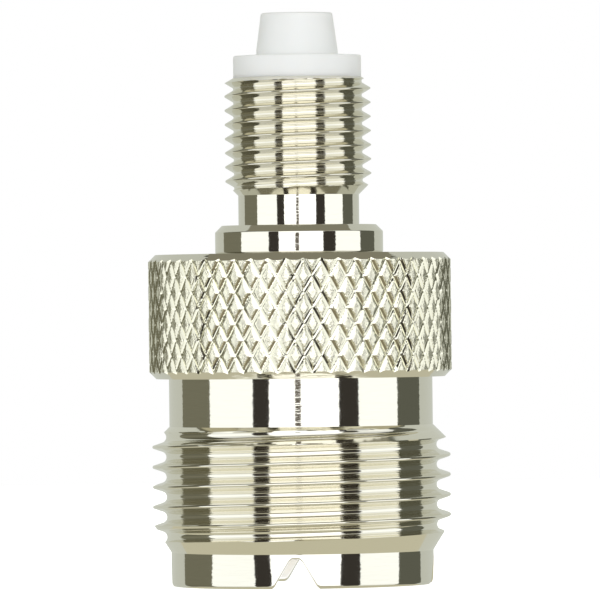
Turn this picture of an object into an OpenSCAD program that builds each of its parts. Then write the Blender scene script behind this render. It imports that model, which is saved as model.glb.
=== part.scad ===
// Coax adapter: a UHF jack with a notched rim and a knurled grip at the bottom,
// and a small-thread FME jack with a white tapered insulator at the top.
// Millimetres. The axis is Z, and z = 0 is the face of the notched rim.

/* [UHF jack shell] */
// Major diameter of the UHF thread, 5/8-24
uhf_thread_d = 15.8; // [15.6:0.05:16]
// Pitch of the UHF thread
uhf_pitch = 1.0583; // [0.9:0.0001:1.2]
// Depth of the UHF thread groove
uhf_groove = 0.74; // [0.6:0.01:0.76]
// Flat on the crest of the UHF thread
uhf_crest = 0.16; // [0.1:0.01:0.2]
// Radius of the round root of the UHF thread
uhf_root = 0.3; // [0.1:0.01:0.32]
// Length of the UHF thread with its end chamfers
uhf_thread_h = 6.65; // [5:0.05:9]
// Angle of the chamfer at the lower end of the UHF thread, from the axis
lead_angle = 32; // [25:1:45]
// Diameter of the plain rim under the thread
rim_d = 13.9; // [13.6:0.05:14]
// Height of the plain rim under the thread
rim_h = 1.8; // [1.7:0.05:3]
// Chamfer on the outer edge of the rim
rim_edge = 0.15; // [0.1:0.05:0.4]
// Diameter of the mouth inside the rim
mouth_d = 12; // [11.6:0.1:12.4]
// Chamfer on the inner edge of the rim
mouth_edge = 0.2; // [0.1:0.05:0.3]
// Diameter of the plain neck above the thread
uhf_neck_d = 13.96; // [13.6:0.02:14]
// Height of the plain neck above the thread
uhf_neck_h = 2.53; // [1.5:0.05:4]

/* [Rim notches] */
// Number of notches around the rim
notch_count = 4; // [2:2:4]
// Depth of a notch
notch_depth = 1.55; // [1:0.05:1.6]
// Width of a notch at its bottom
notch_floor = 0.55; // [0.3:0.05:0.9]
// Angle of a notch side from the axis
notch_angle = 31; // [20:1:35]

/* [Knurled grip] */
// Diameter over the knurl
knurl_d = 16.05; // [15.9:0.05:17]
// Height of the knurled grip
knurl_h = 6.57; // [5:0.05:9]
// Spacing of the diamonds around the grip
knurl_pitch = 0.935; // [0.8:0.005:1.3]
// Spacing of the diamonds along the axis
knurl_rise = 1.66; // [1.3:0.01:2.2]
// Depth of the grooves between the diamonds
knurl_depth = 0.11; // [0.08:0.01:0.25]
// Share of a diamond that is its flat top
knurl_land = 0.5; // [0.3:0.05:0.7]
// Chamfer at both ends of the grip
knurl_edge = 0.38; // [0.3:0.01:0.45]

/* [FME jack body] */
// Major diameter of the FME thread, M8 x 0.75
fme_thread_d = 7.75; // [7.7:0.05:8]
// Pitch of the FME thread
fme_pitch = 0.75; // [0.6:0.05:0.9]
// Depth of the FME thread groove
fme_groove = 0.47; // [0.35:0.01:0.5]
// Flat on the crest of the FME thread
fme_crest = 0.09; // [0.05:0.01:0.12]
// Radius of the round root of the FME thread
fme_root = 0.11; // [0.05:0.01:0.12]
// Length of the FME thread with its end chamfers
fme_thread_h = 6.23; // [4:0.05:9]
// Diameter of the plain neck under the FME thread
fme_neck_d = 6.4; // [6.2:0.05:6.6]
// Height of the plain neck under the FME thread
fme_neck_h = 1.59; // [1:0.05:3]
// Diameter of the flange that sits on the grip
flange_d = 8.9; // [8.6:0.05:10]
// Height of the flange
flange_h = 1.51; // [1.2:0.05:2.5]
// Chamfer on the top edge of the flange
flange_edge = 0.36; // [0.1:0.02:0.5]
// Diameter of the spigot pressed into the grip
spigot_d = 8.2; // [7.8:0.05:8.4]
// Length of the spigot pressed into the grip
spigot_h = 5; // [4.2:0.1:5.2]
// Bore of the FME jack body
fme_bore = 5; // [4.6:0.05:5.2]

/* [Insulators] */
// Depth of the UHF insulator's face inside the mouth
recess = 2.4; // [1.8:0.1:3.2]
// Chamfer on the edge of the UHF insulator's face
recess_edge = 0.2; // [0.1:0.05:0.4]
// Diameter of the UHF insulator's sleeve inside the spigot
sleeve_d = 6.8; // [6.4:0.05:7]
// Depth of the sleeve's end below the top of the grip
sleeve_set = 0.4; // [0.2:0.05:0.8]
// Wall between the UHF contact and the FME contact's collar
sleeve_end = 0.7; // [0.5:0.05:1]
// Diameter of the white disc on the FME jack
disc_d = 6.78; // [6:0.02:6.8]
// Height of the white disc
disc_h = 1.16; // [0.8:0.02:2]
// Chamfer on the top edge of the white disc
disc_edge = 0.06; // [0.02:0.02:0.2]
// Diameter of the tapered nose where it meets the disc
nose_base_d = 4.38; // [4:0.02:5]
// Diameter of the tapered nose at its tip
nose_tip_d = 3.78; // [3.2:0.02:4]
// Height of the tapered nose
nose_h = 2.26; // [1.5:0.02:3.5]
// Chamfer on the tip of the nose
nose_edge = 0.1; // [0.04:0.02:0.3]
// Entry hole in the tip of the nose
entry_d = 1.6; // [1.4:0.05:1.8]
// Depth of the entry hole, down to the FME contact
entry_h = 0.5; // [0.3:0.05:0.8]
// Lead-in chamfer of the entry hole
entry_edge = 0.25; // [0.1:0.05:0.25]

/* [Contacts] */
// Outside diameter of the UHF socket contact
uhf_contact_d = 5.5; // [5.2:0.05:5.8]
// Bore of the UHF socket contact, for a 4 mm pin
uhf_socket_d = 4; // [3.9:0.02:4.2]
// How far the UHF contact stands out of its insulator
uhf_contact_proud = 0.3; // [0.1:0.05:0.6]
// Chamfer on the outer edge of the UHF contact
uhf_contact_edge = 0.2; // [0.1:0.05:0.3]
// Lead-in chamfer of the UHF contact's bore
uhf_socket_edge = 0.3; // [0.1:0.05:0.3]
// Thickness of the UHF contact's closed end
uhf_contact_end = 2; // [1.6:0.1:3]
// Length of the slots in the UHF contact
uhf_slot_h = 8; // [4:0.5:10]
// Width of the slots in the UHF contact
uhf_slot_w = 0.5; // [0.3:0.05:0.6]
// Outside diameter of the FME socket contact
fme_contact_d = 2.1; // [1.9:0.05:2.3]
// Bore of the FME socket contact
fme_socket_d = 1.3; // [1.1:0.02:1.35]
// Depth of the FME contact's bore
fme_socket_h = 4.5; // [3:0.1:6]
// Length of the slots in the FME contact
fme_slot_h = 3; // [2:0.1:4]
// Width of the slots in the FME contact
fme_slot_w = 0.2; // [0.12:0.01:0.22]
// Chamfer on the tip of the FME contact
fme_contact_edge = 0.1; // [0.05:0.01:0.2]
// Diameter of the collar that stops the FME contact
collar_d = 3.4; // [3:0.1:4.2]
// Thickness of the collar
collar_h = 0.8; // [0.5:0.05:1.2]
// Diameter of the FME contact's stud
stud_d = 1.8; // [1.4:0.05:1.9]
// Length of stud inside the UHF contact
stud_grip = 1.4; // [1:0.05:1.5]

/* [Fits] */
// Radial gap between an insulator and the metal around it
slip = 0.02; // [0.01:0.01:0.05]

/* [Hidden] */
$fn = 96;

nickel = [0.80, 0.78, 0.71];
white = [0.94, 0.95, 0.95];
gold = [0.86, 0.68, 0.36];

// Sides of the two threads and the angles of the points in their round roots; how far a thread's
// stub sinks in, and how much slimmer it is than the piece it sinks into; the least spacing of its
// rows; how far a cut runs past a face
uhf_sides = 40;
uhf_arc = [-73, -38, 0, 38, 73];
fme_sides = 32;
fme_arc = [-60, 0, 60];
bury = 0.3;
seam = 0.06;
near = 0.03;
past = 1;

// Heights above the rim face, from the bottom up
uhf_thread_z = rim_h;
uhf_neck_z = uhf_thread_z + uhf_thread_h;
knurl_z = uhf_neck_z + uhf_neck_h;
flange_z = knurl_z + knurl_h;
fme_neck_z = flange_z + flange_h;
fme_thread_z = fme_neck_z + fme_neck_h;
disc_z = fme_thread_z + fme_thread_h;
nose_z = disc_z + disc_h;
tip_z = nose_z + nose_h;

// Seats of the inner pieces
spigot_z = flange_z - spigot_h;
sleeve_top_z = flange_z - sleeve_set;
uhf_contact_top_z = sleeve_top_z - sleeve_end;
uhf_socket_top_z = uhf_contact_top_z - uhf_contact_end;
collar_top_z = sleeve_top_z + collar_h;
fme_contact_top_z = tip_z - entry_h;
uhf_contact_z = recess - uhf_contact_proud;

// Turn of each thread and of the knurl about the axis, from the notch that faces the front
uhf_thread_turn = 61;
fme_thread_turn = 157;
knurl_turn = 1.2;

// Radius gained for each millimetre of height by the chamfers at the ends of a thread: the lower
// chamfer of the UHF thread and the others
lead_in = tan(lead_angle);
lead_out = tan(45);

// Diamonds around the grip, rows of them along it, and the height of half a diamond
knurl_count = round(PI * knurl_d / knurl_pitch);
knurl_rows = round((knurl_h - 2 * knurl_edge) / (knurl_rise / 2));
knurl_step = (knurl_h - 2 * knurl_edge) / knurl_rows;

// A point at angle a, radius r and height z
function around(a, r, z) = [r * cos(a), r * sin(a), z];

// A triangle, unless two of its corners are the same
function triangle(a, b, c) = (a == b || b == c || c == a) ? [] : [[a, b, c]];

// Two triangles across the corners a, b, c, d
function patch(a, b, c, d) = [[a, b, c], [a, c, d]];

// One pitch of a thread as [height, radius] pairs: a crest flat, then a groove with a round root.
// The root's arc has a point at each angle in arc, measured from its lowest point.
function thread_pitch(pitch, crest_r, groove, crest_w, root_r, arc) =
    let (middle = (crest_w + pitch) / 2)
    concat([[0, crest_r], [crest_w, crest_r]],
           [for (a = arc) [middle + root_r * sin(a), crest_r - groove + root_r * (1 - cos(a))]]);

// A solid right-hand thread from z = 0 to z = h. Its rows of points follow the helix, and its ends
// are chamfered down to low_r, with the given slope, and to high_r. A plain stub sinks low_stub into
// the piece below it, and another sinks high_stub into the piece above it.
module threaded_rod(h, pitch, profile, low_r, low_slope, high_r, low_stub, high_stub, sides)
{
    n = len(profile);
    crest_r = profile[0][1];
    rows = (ceil(h / pitch) + 3) * n;
    function height(i, j) =
        pitch * (floor(j / n) - 1 + i / sides) - profile[1][0] + profile[j % n][0];
    function blank_r(z) = min(crest_r, low_r + z * low_slope, high_r + (h - z) * lead_out);
    function index(i, j) =
        i == sides ? index(0, j + n)
        : height(i, j) < near ? sides + i
        : height(i, j) > h - near ? 2 * sides + i
        : 4 * sides + i * (rows + 1) + j;
    function ring(r, z) = [for (i = [0 : sides - 1]) around(360 * i / sides, r, z)];
    function wall(low, high) = [for (i = [0 : sides - 1])
        let (k = (i + 1) % sides)
        each patch(low * sides + i, high * sides + i, high * sides + k, low * sides + k)];
    side = [for (i = [0 : sides - 1], j = [0 : rows])
        let (z = height(i, j))
        around(360 * i / sides, min(profile[j % n][1], blank_r(z)), z)];
    skin = [for (i = [0 : sides - 1], j = [0 : rows - n - 1])
        let (a = index(i, j), b = index(i + 1, j), c = index(i + 1, j + 1), d = index(i, j + 1))
        each concat(triangle(a, c, b), triangle(a, d, c))];
    low_end = low_stub > 0 ? 0 : 1;
    high_end = high_stub > 0 ? 3 : 2;
    polyhedron(
        concat(ring(low_r, -low_stub), ring(low_r, 0), ring(high_r, h), ring(high_r, h + high_stub), side),
        concat(skin,
               low_stub > 0 ? wall(0, 1) : [],
               high_stub > 0 ? wall(2, 3) : [],
               [[for (i = [0 : sides - 1]) low_end * sides + i]],
               [[for (i = [sides - 1 : -1 : 0]) high_end * sides + i]]));
}

// The knurled grip as a solid: rows of flat-topped diamonds between two crossing sets of V grooves.
// A diamond has a flat top with corners west, east, north and south; grooves cross between diamonds.
module knurl_rod()
{
    n = knurl_count;
    rows = knurl_rows;
    turn = 360 / n;
    top_r = knurl_d / 2;
    groove_r = top_r - knurl_depth;
    end_r = top_r - knurl_edge;
    land_turn = turn / 2 * knurl_land;
    land_rise = knurl_step * knurl_land;
    function row_z(k) = knurl_edge + k * knurl_step;
    function centre(k, i) = turn * (i + (k % 2) / 2);
    function at(kind, k, i) = (kind * (rows + 1) + k) * n + (i + n) % n;
    function crossing(k, i) = at(0, k, i);
    function west(k, i) = at(1, k, i);
    function east(k, i) = at(2, k, i);
    function north(k, i) = at(3, k, i);
    function south(k, i) = at(4, k, i);
    function low_ring(m) = 5 * (rows + 1) * n + m % (3 * n);
    function high_ring(m) = low_ring(m) + 3 * n;
    grid = [for (kind = [0 : 4], k = [0 : rows], i = [0 : n - 1])
        let (a = centre(k, i), z = row_z(k))
        kind == 0 ? around(a + turn / 2, groove_r, z)
        : kind == 1 ? around(a - land_turn, top_r, z)
        : kind == 2 ? around(a + land_turn, top_r, z)
        : kind == 3 ? around(a, top_r, min(z + land_rise, row_z(rows)))
        : around(a, top_r, max(z - land_rise, row_z(0)))];
    function ring(k, z) = [for (i = [0 : n - 1], d = [-land_turn, land_turn, turn / 2])
        around(centre(k, i) + d, end_r, z)];
    function chain(k, m) =
        let (i = floor(m / 3) % n)
        [west(k, i), east(k, i), crossing(k, i)][m % 3];
    upper = [for (k = [0 : rows - 1], i = [0 : n - 1])
        let (cw = crossing(k, i - 1), ce = crossing(k, i), cn = crossing(k + 1, i - 1 + k % 2))
        each concat(patch(ce, east(k, i), north(k, i), cn), patch(cn, north(k, i), west(k, i), cw))];
    lower = [for (k = [1 : rows], i = [0 : n - 1])
        let (cw = crossing(k, i - 1), ce = crossing(k, i), cs = crossing(k - 1, i - 1 + k % 2))
        each concat(patch(cs, south(k, i), east(k, i), ce), patch(cw, west(k, i), south(k, i), cs))];
    lands = [for (k = [1 : rows - 1], i = [0 : n - 1])
        each patch(south(k, i), west(k, i), north(k, i), east(k, i))];
    half_lands = [for (i = [0 : n - 1])
        each [[west(0, i), north(0, i), east(0, i)], [west(rows, i), east(rows, i), south(rows, i)]]];
    ends = [for (m = [0 : 3 * n - 1])
        each concat(
            patch(low_ring(m), chain(0, m), chain(0, m + 1), low_ring(m + 1)),
            patch(chain(rows, m), high_ring(m), high_ring(m + 1), chain(rows, m + 1)))];
    polyhedron(
        concat(grid, ring(0, 0), ring(rows, knurl_h)),
        concat(upper, lower, lands, half_lands, ends,
               [[for (m = [0 : 3 * n - 1]) low_ring(m)]],
               [[for (m = [3 * n - 1 : -1 : 0]) high_ring(m)]]));
}

// Slots that split a socket contact into fingers, from z = 0 up to z = h
module finger_slots(h, w, reach)
{
    for (a = [0, 90])
        rotate([0, 0, a + 45])
            translate([-reach, -w / 2, -past])
                cube([2 * reach, w, h + past]);
}

// Notched rim, UHF thread, neck and knurled grip
module uhf_shell()
{
    rim_r = rim_d / 2;
    neck_r = uhf_neck_d / 2;
    mouth_r = mouth_d / 2;
    notch_rim = notch_floor + 2 * notch_depth * tan(notch_angle);
    notch_past = notch_rim + 2 * past * tan(notch_angle);
    profile = thread_pitch(uhf_pitch, uhf_thread_d / 2, uhf_groove, uhf_crest, uhf_root, uhf_arc);
    color(nickel)
    difference()
    {
        union()
        {
            rotate_extrude()
                polygon([[0, 0], [rim_r - rim_edge, 0], [rim_r, rim_edge], [rim_r, rim_h], [0, rim_h]]);
            translate([0, 0, uhf_thread_z])
                rotate([0, 0, uhf_thread_turn])
                    threaded_rod(uhf_thread_h, uhf_pitch, profile, rim_r - seam, lead_in,
                                 neck_r - seam, bury, bury, uhf_sides);
            translate([0, 0, uhf_neck_z])
                cylinder(r = neck_r, h = uhf_neck_h + bury);
            translate([0, 0, knurl_z])
                rotate([0, 0, knurl_turn])
                    knurl_rod();
        }
        translate([0, 0, -past])
            cylinder(r = mouth_r, h = spigot_z + past);
        translate([0, 0, spigot_z - past])
            cylinder(d = spigot_d, h = spigot_h + 2 * past);
        rotate_extrude()
            polygon([[0, -past], [mouth_r + mouth_edge, -past], [mouth_r + mouth_edge, 0],
                     [mouth_r, mouth_edge], [0, mouth_edge]]);
        for (i = [0 : notch_count - 1])
            rotate([90, 0, i * 360 / notch_count])
                linear_extrude(height = rim_d)
                    polygon([[-notch_past / 2, -past], [notch_past / 2, -past],
                             [notch_floor / 2, notch_depth], [-notch_floor / 2, notch_depth]]);
    }
}

// Flange, neck and thread of the FME jack, with the spigot that is pressed into the grip
module fme_body()
{
    flange_r = flange_d / 2;
    neck_r = fme_neck_d / 2;
    end_r = fme_thread_d / 2 - fme_groove;
    profile = thread_pitch(fme_pitch, fme_thread_d / 2, fme_groove, fme_crest, fme_root, fme_arc);
    color(nickel)
    difference()
    {
        union()
        {
            translate([0, 0, spigot_z])
                cylinder(d = spigot_d, h = spigot_h + bury);
            rotate_extrude()
                polygon([[0, flange_z], [flange_r, flange_z], [flange_r, fme_neck_z - flange_edge],
                         [flange_r - flange_edge, fme_neck_z], [neck_r, fme_neck_z],
                         [neck_r, fme_thread_z], [0, fme_thread_z]]);
            translate([0, 0, fme_thread_z])
                rotate([0, 0, fme_thread_turn])
                    threaded_rod(fme_thread_h, fme_pitch, profile, neck_r - seam, lead_out,
                                 end_r, bury, 0, fme_sides);
        }
        translate([0, 0, spigot_z - past])
            cylinder(d = sleeve_d, h = sleeve_top_z - spigot_z + past);
        translate([0, 0, spigot_z])
            cylinder(d = fme_bore, h = disc_z - spigot_z + past);
    }
}

// White insulator of the UHF jack: a thick disc in the mouth and a sleeve inside the spigot
module uhf_insulator()
{
    sleeve_r = sleeve_d / 2 - slip;
    body_r = mouth_d / 2 - slip;
    color(white)
    difference()
    {
        rotate_extrude()
            polygon([[0, recess], [body_r - recess_edge, recess], [body_r, recess + recess_edge],
                     [body_r, spigot_z], [sleeve_r, spigot_z], [sleeve_r, sleeve_top_z],
                     [0, sleeve_top_z]]);
        translate([0, 0, recess - past])
            cylinder(d = uhf_contact_d + 2 * slip, h = uhf_contact_top_z - recess + past);
        translate([0, 0, uhf_contact_top_z - past])
            cylinder(d = stud_d + 2 * slip, h = sleeve_end + 2 * past);
    }
}

// White insulator of the FME jack: a stem in the bore, the disc, and the tapered nose
module fme_insulator()
{
    stem_r = fme_bore / 2 - slip;
    color(white)
    difference()
    {
        rotate_extrude()
            polygon([[0, collar_top_z], [stem_r, collar_top_z], [stem_r, disc_z], [disc_d / 2, disc_z],
                     [disc_d / 2, nose_z - disc_edge], [disc_d / 2 - disc_edge, nose_z],
                     [nose_base_d / 2, nose_z], [nose_tip_d / 2, tip_z - nose_edge],
                     [nose_tip_d / 2 - nose_edge, tip_z], [0, tip_z]]);
        translate([0, 0, collar_top_z - past])
            cylinder(d = fme_contact_d + 2 * slip, h = fme_contact_top_z - collar_top_z + past);
        translate([0, 0, fme_contact_top_z - past])
            cylinder(d = entry_d, h = entry_h + 2 * past);
        rotate_extrude()
            polygon([[0, tip_z - entry_edge], [entry_d / 2, tip_z - entry_edge],
                     [entry_d / 2 + entry_edge, tip_z], [entry_d / 2 + entry_edge, tip_z + past],
                     [0, tip_z + past]]);
    }
}

// Slotted socket of the UHF jack
module uhf_contact()
{
    contact_r = uhf_contact_d / 2;
    socket_r = uhf_socket_d / 2;
    color(gold)
    difference()
    {
        rotate_extrude()
            polygon([[0, uhf_contact_z], [contact_r - uhf_contact_edge, uhf_contact_z],
                     [contact_r, uhf_contact_z + uhf_contact_edge], [contact_r, uhf_contact_top_z],
                     [0, uhf_contact_top_z]]);
        translate([0, 0, uhf_contact_z - past])
            cylinder(r = socket_r, h = uhf_socket_top_z - uhf_contact_z + past);
        rotate_extrude()
            polygon([[0, uhf_contact_z - past], [socket_r + uhf_socket_edge, uhf_contact_z - past],
                     [socket_r + uhf_socket_edge, uhf_contact_z],
                     [socket_r, uhf_contact_z + uhf_socket_edge], [0, uhf_contact_z + uhf_socket_edge]]);
        translate([0, 0, uhf_contact_top_z - stud_grip])
            cylinder(d = stud_d + 2 * slip, h = stud_grip + past);
        translate([0, 0, uhf_contact_z])
            finger_slots(uhf_slot_h, uhf_slot_w, uhf_contact_d);
    }
}

// Slotted socket of the FME jack, with the collar that stops it and the stud that joins the contacts
module fme_contact()
{
    contact_r = fme_contact_d / 2;
    collar_r = collar_d / 2;
    stud_r = stud_d / 2;
    stud_z = uhf_contact_top_z - stud_grip;
    color(gold)
    difference()
    {
        rotate_extrude()
            polygon([[0, stud_z], [stud_r, stud_z], [stud_r, sleeve_top_z], [collar_r, sleeve_top_z],
                     [collar_r, collar_top_z], [contact_r, collar_top_z],
                     [contact_r, fme_contact_top_z - fme_contact_edge],
                     [contact_r - fme_contact_edge, fme_contact_top_z], [0, fme_contact_top_z]]);
        translate([0, 0, fme_contact_top_z - fme_socket_h])
            cylinder(d = fme_socket_d, h = fme_socket_h + past);
        translate([0, 0, fme_contact_top_z])
            mirror([0, 0, 1])
                finger_slots(fme_slot_h, fme_slot_w, fme_contact_d);
    }
}

uhf_shell();
fme_body();
uhf_insulator();
fme_insulator();
uhf_contact();
fme_contact();
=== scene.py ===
"""Coax adapter in bright nickel plate, with white insulators and gold contacts, on a pale floor."""

import math

import bmesh
import bpy
import numpy as np
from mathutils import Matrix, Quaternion, Vector


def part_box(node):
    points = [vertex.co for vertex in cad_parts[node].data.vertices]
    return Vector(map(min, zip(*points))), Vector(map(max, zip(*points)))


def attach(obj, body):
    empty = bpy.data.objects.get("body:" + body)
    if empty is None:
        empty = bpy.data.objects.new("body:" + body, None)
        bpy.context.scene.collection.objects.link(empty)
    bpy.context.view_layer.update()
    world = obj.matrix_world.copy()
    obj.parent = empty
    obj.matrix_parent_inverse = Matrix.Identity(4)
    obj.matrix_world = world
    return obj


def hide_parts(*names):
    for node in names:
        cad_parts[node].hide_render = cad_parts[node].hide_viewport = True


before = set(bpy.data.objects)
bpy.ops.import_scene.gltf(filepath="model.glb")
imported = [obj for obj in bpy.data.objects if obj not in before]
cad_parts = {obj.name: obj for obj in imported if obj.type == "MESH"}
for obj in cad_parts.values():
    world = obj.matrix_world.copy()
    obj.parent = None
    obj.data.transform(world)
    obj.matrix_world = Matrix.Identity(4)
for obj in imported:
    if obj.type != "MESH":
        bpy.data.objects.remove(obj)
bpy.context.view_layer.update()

MM = 0.001

# Lowest and highest corners of the solids
shell_low, shell_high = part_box("uhf_shell")
jack_low, jack_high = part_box("fme_body")
sleeve_low, sleeve_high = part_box("uhf_insulator")
nose_low, nose_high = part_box("fme_insulator")
socket_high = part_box("uhf_contact")[1]
pin_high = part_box("fme_contact")[1]

# Slopes of the chamfers at the ends of the threads
LEAD_IN = math.tan(math.radians(32))
LEAD_OUT = math.tan(math.radians(45))
FLAT_END = math.tan(math.radians(60))

# UHF shell: rim, thread, neck and knurled grip
RIM_R = 6.95 * MM
RIM_HEIGHT = 1.8 * MM
RIM_ROUND = 0.16 * MM
MOUTH_R = 6.0 * MM
MOUTH_ROUND = 0.2 * MM
NOTCH_COUNT = 4
NOTCH_DEPTH = 1.55 * MM
NOTCH_FLOOR = 0.55 * MM
NOTCH_ANGLE = math.radians(31)
BURR = 0.08 * MM
UHF_CREST_R = 7.9 * MM
UHF_PITCH = 1.0583 * MM
UHF_GROOVE = 0.74 * MM
UHF_CREST = 0.16 * MM
UHF_CREST_ROUND = 0.045 * MM
UHF_ROOT = 0.30 * MM
UHF_ROOT_ARC = math.radians(73)
UHF_THREAD_LENGTH = 6.65 * MM
UHF_THREAD_TURN = 61 / 360
UHF_NECK_R = 6.98 * MM
UHF_NECK_LENGTH = 2.53 * MM
KNURL_R = 8.024 * MM
KNURL_COUNT = 54
KNURL_LEVELS = 7
KNURL_DEPTH = 0.11 * MM
KNURL_LAND = 0.4
KNURL_GROOVE_ROUND = 0.04
KNURL_SHOULDER = 1.5
KNURL_UNEVENNESS = 0.012 * MM
KNURL_SEED = 7
KNURL_EDGE = 0.38 * MM
KNURL_TURN = 1.36
SPIGOT_R = 4.1 * MM

# FME body: spigot, flange, neck and thread
FLANGE_R = 4.45 * MM
FLANGE_HEIGHT = 1.51 * MM
FLANGE_EDGE = 0.36 * MM
FLANGE_ROUND = 0.05 * MM
FLANGE_FOOT_ROUND = 0.1 * MM
FME_NECK_R = 3.2 * MM
FME_NECK_LENGTH = 1.59 * MM
FME_CREST_R = 3.875 * MM
FME_PITCH = 0.75 * MM
FME_GROOVE = 0.47 * MM
FME_CREST = 0.09 * MM
FME_CREST_ROUND = 0.02 * MM
FME_ROOT = 0.11 * MM
FME_ROOT_ARC = math.radians(60)
FME_THREAD_TURN = 157 / 360
FME_BORE_R = 2.5 * MM
SLEEVE_R = 3.4 * MM

# Insulators
DISC_R = 3.39 * MM
DISC_HEIGHT = 1.16 * MM
DISC_ROUND = 0.08 * MM
NOSE_BASE_R = 2.19 * MM
NOSE_TIP_R = 1.89 * MM
NOSE_ROUND = 0.12 * MM
ENTRY_R = 0.8 * MM
ENTRY_EDGE = 0.25 * MM
FACE_ROUND = 0.2 * MM
SLIP = 0.02 * MM

# Contacts
UHF_CONTACT_R = 2.75 * MM
FME_CONTACT_R = 1.05 * MM
STUD_R = 0.9 * MM

# Heights above the rim face
uhf_thread_z = RIM_HEIGHT
uhf_neck_z = uhf_thread_z + UHF_THREAD_LENGTH
knurl_z = uhf_neck_z + UHF_NECK_LENGTH
knurl_top = shell_high.z
spigot_z = jack_low.z
fme_neck_z = knurl_top + FLANGE_HEIGHT
fme_thread_z = fme_neck_z + FME_NECK_LENGTH
fme_thread_top = jack_high.z
nose_z = fme_thread_top + DISC_HEIGHT
tip_z = nose_high.z

# How finely the pieces are divided, and how near two points count as one
SHELL_COLUMNS = 180
JACK_COLUMNS = 144
SMALL_COLUMNS = 96
ROUND_STEPS = 4
UHF_THREAD_ROWS = 216
UHF_PITCH_ROWS = 24
FME_THREAD_ROWS = 352
FME_PITCH_ROWS = 32
KNURL_GROOVE_STEPS = 4
KNURL_LAND_STEPS = 1
KNURL_CROWDING = 1.3
KNURL_END_ROWS = 3
WELD = 0.001 * MM
NEAR = 3 * WELD
GUARD = 0.03 * MM
SHARP = math.radians(28)

# Shares of the rows of a pitch that go to the root, the flanks and the crest of a thread
UHF_ROW_SHARES = (0.5, 0.25, 0.25)
FME_ROW_SHARES = (0.25, 0.5, 0.25)

# Numbers the diamonds of the knurl apart, and keeps whole numbers whole when they are rounded down
DIAMOND_STRIDE = 64.0
ROUNDING = 0.0001


def ring(radius, height, angles):
    """Points around the axis at one height."""
    return np.stack([radius * np.cos(angles), radius * np.sin(angles), height + 0 * angles], axis=1)


def even_angles(columns):
    return 2 * math.pi * np.arange(columns) / columns


def add_wall(bm, rings, material=0):
    """Joins each ring of points to the next one with quads."""
    rows = [[bm.verts.new(point) for point in points] for points in rings]
    for low, high in zip(rows, rows[1:]):
        for i in range(len(low)):
            j = (i + 1) % len(low)
            face = bm.faces.new((low[i], low[j], high[j], high[i]))
            face.material_index = material
    return rows


def add_turned(bm, path, columns, material=0):
    """A wall turned from (radius, height) pairs."""
    angles = even_angles(columns)
    return add_wall(bm, [ring(r, z, angles) for r, z in path], material)


def add_flat_ring(bm, outer, inner, material):
    """Fills the flat ring between two circles of points that may differ in number."""
    def angle(vert):
        return math.atan2(vert.co.y, vert.co.x) % (2 * math.pi)

    outer = sorted(outer, key=angle)
    inner = sorted(inner, key=angle)
    i = 0
    j = 0
    while i < len(outer) or j < len(inner):
        a = outer[i % len(outer)]
        b = inner[j % len(inner)]
        next_outer = angle(outer[i + 1]) if i + 1 < len(outer) else 2 * math.pi + angle(outer[0])
        next_inner = angle(inner[j + 1]) if j + 1 < len(inner) else 2 * math.pi + angle(inner[0])
        if j >= len(inner) or (i < len(outer) and next_outer <= next_inner):
            corner = outer[(i + 1) % len(outer)]
            i += 1
        else:
            corner = inner[(j + 1) % len(inner)]
            j += 1
        bm.faces.new((a, corner, b)).material_index = material


def rounded(corners):
    """A path of (radius, height) pairs, where a third number rounds that corner with an arc."""
    path = []
    for before, corner, after in zip([None, *corners[:-1]], corners, [*corners[1:], None]):
        if len(corner) == 2:
            path.append(corner)
            continue
        point = np.array(corner[:2])
        radius = corner[2]
        to_before = np.array(before[:2]) - point
        to_after = np.array(after[:2]) - point
        to_before /= np.linalg.norm(to_before)
        to_after /= np.linalg.norm(to_after)
        half = math.acos(float(to_before @ to_after)) / 2
        reach = radius / math.tan(half)
        inward = (to_before + to_after) / np.linalg.norm(to_before + to_after)
        middle = point + inward * radius / math.sin(half)
        start = point + to_before * reach - middle
        end = point + to_after * reach - middle
        sweep = math.pi - 2 * half
        path.append(tuple(point + to_before * (reach + GUARD)))
        for k in range(ROUND_STEPS + 1):
            share = k / ROUND_STEPS
            spoke = math.sin((1 - share) * sweep) * start + math.sin(share * sweep) * end
            path.append(tuple(middle + spoke / math.sin(sweep)))
        path.append(tuple(point + to_after * (reach + GUARD)))
    return path


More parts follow.
